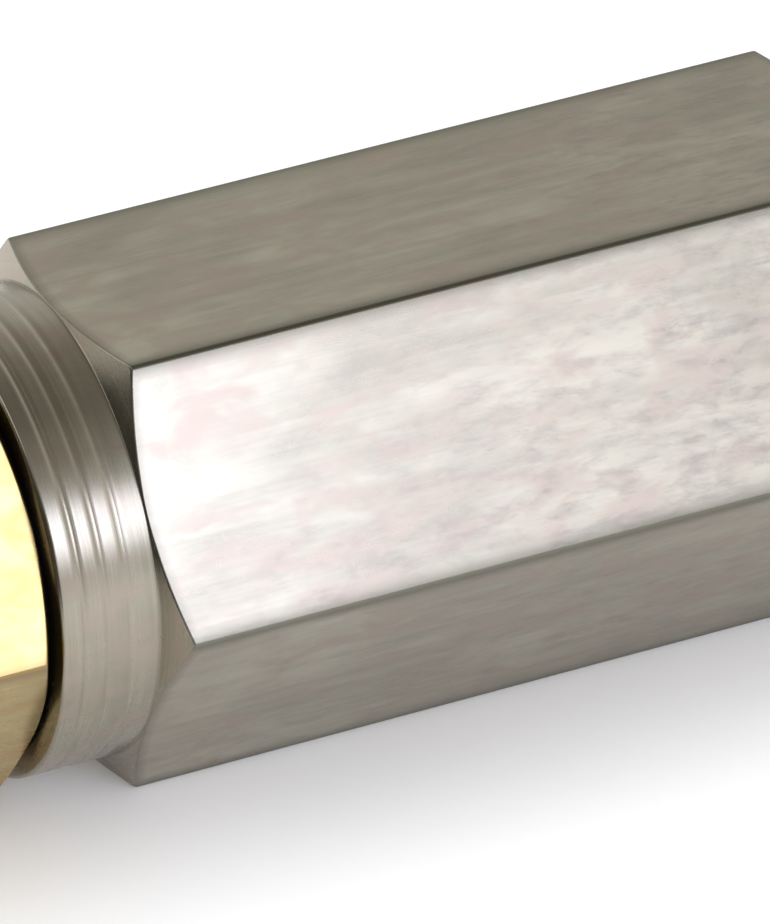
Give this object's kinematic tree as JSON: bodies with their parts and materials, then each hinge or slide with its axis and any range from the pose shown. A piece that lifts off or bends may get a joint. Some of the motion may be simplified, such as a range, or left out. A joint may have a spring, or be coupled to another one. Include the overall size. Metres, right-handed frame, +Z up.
{
  "type": "carbon dioxide diffuser",
  "caption": "Aquarium gas diffuser: hexagonal steel check-valve body between a brass compression inlet and a clamped porous ceramic tube.",
  "frame": {"origin": "middle of the steel body's lower flat, on the surface it lies on", "axes": "+X along the gas axis from the inlet towards the ceramic tube, +Z up"},
  "size_m": [0.0987, 0.0164, 0.0143],
  "materials": {
    "steel_bar": "drawn bar, satin, lightly scratched",
    "brass": "turned and drawn, satin",
    "black_rubber": "matt",
    "spring_steel": "bright",
    "valve_plastic": "acetal, satin",
    "sintered_bronze": "porous, rough",
    "ceramic": "porous, chalky",
    "silicone": "translucent, satin",
    "fibre": "vulcanised fibre, matt"
  },
  "bodies": {
    "main": {"valve_body": "steel_bar", "inlet_gasket": "black_rubber", "inlet_fitting": "brass", "inlet_filter": "sintered_bronze", "filter_clip": "spring_steel", "valve_spring": "spring_steel", "spring_guide": "valve_plastic", "guide_clip": "spring_steel", "outlet_gasket": "black_rubber", "outlet_fitting": "brass", "gas_rod": "steel_bar", "inner_washer": "silicone", "ceramic_tube": "ceramic", "outer_washer": "silicone", "end_cap": "steel_bar", "seal_washer": "fibre", "dome_nut": "brass"},
    "olive": {"ferrule": "brass"},
    "nut": {"compression_nut": "brass"},
    "valve": {"poppet": "valve_plastic", "poppet_seal": "black_rubber"}
  },
  "joints": [
    {"name": "nut_travel", "type": "slide", "parent": "main", "child": "olive", "axis": [-1, 0, 0], "range_m": [0, 0.004]},
    {"name": "nut_turn", "type": "hinge", "parent": "olive", "child": "nut", "pos_m": [-0.0275, 0, 0.00714], "axis": [-1, 0, 0], "range_deg": [0, 1440]},
    {"name": "poppet_lift", "type": "slide", "parent": "main", "child": "valve", "axis": [1, 0, 0], "range_m": [0, 0.0012], "stiffness_N_per_m": 100, "springref_m": -0.0015, "deforming": ["valve_spring"]}
  ],
  "couplings": [
    {"joint": "nut_travel", "follows": "nut_turn", "m_per_rad": 0.00015915}
  ]
}
